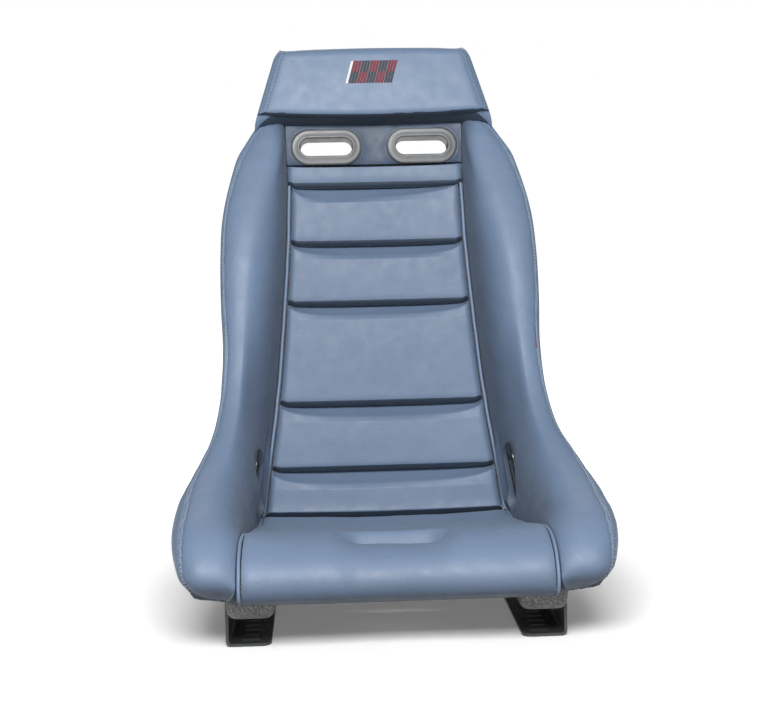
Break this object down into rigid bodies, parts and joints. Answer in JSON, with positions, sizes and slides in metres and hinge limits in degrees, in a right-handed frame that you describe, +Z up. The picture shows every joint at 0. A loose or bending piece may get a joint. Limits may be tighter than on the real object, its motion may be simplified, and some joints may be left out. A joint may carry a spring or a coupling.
{
  "type": "racing seat",
  "caption": "Fixed-back bucket racing seat in quilted leatherette on a rigid shell, with belt slots, a pull-out cushion and slotted side-mount floor brackets.",
  "frame": {"origin": "on the floor, under the middle of the seat's bounding box", "axes": "+Z up, the seat faces -Y, +X is on the right of someone who looks at its front"},
  "size_m": [0.586, 0.5792, 0.8289],
  "materials": {
    "leatherette": "satin, fine pebble grain",
    "piping_cord": "satin",
    "shell_gelcoat": "speckled gelcoat over glass fibre",
    "black_plastic": "satin moulded plastic",
    "powder_coat": "fine-textured black powder coat",
    "zinc_steel": "zinc plated",
    "hook_and_loop": "woven",
    "badge_cloth": "embroidered",
    "tag_cloth": "woven ribbon"
  },
  "bodies": {
    "seat_frame": {"shell_pan_left": "shell_gelcoat", "shell_pan_right": "shell_gelcoat", "shell_back_left": "shell_gelcoat", "shell_back_right": "shell_gelcoat", "shell_head_left": "shell_gelcoat", "shell_head_right": "shell_gelcoat", "mount_rail_left": "shell_gelcoat", "mount_rail_right": "shell_gelcoat", "headrest_pad": "leatherette", "slot_panel": "leatherette", "back_panel_1": "leatherette", "back_panel_2": "leatherette", "back_panel_3": "leatherette", "back_panel_4": "leatherette", "back_panel_5": "leatherette", "back_panel_6": "leatherette", "side_bolster_left": "leatherette", "side_bolster_right": "leatherette", "back_piping_left": "piping_cord", "back_piping_right": "piping_cord", "harness_bezel_front_left": "black_plastic", "harness_bezel_front_right": "black_plastic", "harness_bezel_rear_left": "black_plastic", "harness_bezel_rear_right": "black_plastic", "lap_belt_bezel_front_left": "black_plastic", "lap_belt_bezel_front_right": "black_plastic", "lap_belt_bezel_rear_left": "black_plastic", "lap_belt_bezel_rear_right": "black_plastic", "crotch_bezel": "black_plastic", "bracket_left": "powder_coat", "bracket_right": "powder_coat", "bracket_bolt_front_left": "zinc_steel", "bracket_bolt_front_right": "zinc_steel", "bracket_bolt_rear_left": "zinc_steel", "bracket_bolt_rear_right": "zinc_steel", "bracket_washer_front_left": "zinc_steel", "bracket_washer_front_right": "zinc_steel", "bracket_washer_rear_left": "zinc_steel", "bracket_washer_rear_right": "zinc_steel", "threaded_insert_front_left": "zinc_steel", "threaded_insert_front_right": "zinc_steel", "threaded_insert_rear_left": "zinc_steel", "threaded_insert_rear_right": "zinc_steel", "pan_hook_strip_left": "hook_and_loop", "pan_hook_strip_right": "hook_and_loop", "headrest_badge": "badge_cloth", "side_tag": "tag_cloth"},
    "cushion": {"seat_cushion": "leatherette", "cushion_piping_left": "piping_cord", "cushion_piping_right": "piping_cord", "cushion_loop_strip_left": "hook_and_loop", "cushion_loop_strip_right": "hook_and_loop"}
  },
  "joints": [
    {"name": "cushion_pull", "type": "slide", "parent": "seat_frame", "child": "cushion", "axis": [0, -0.7071, 0.7071], "range_m": [0, 0.15]}
  ]
}
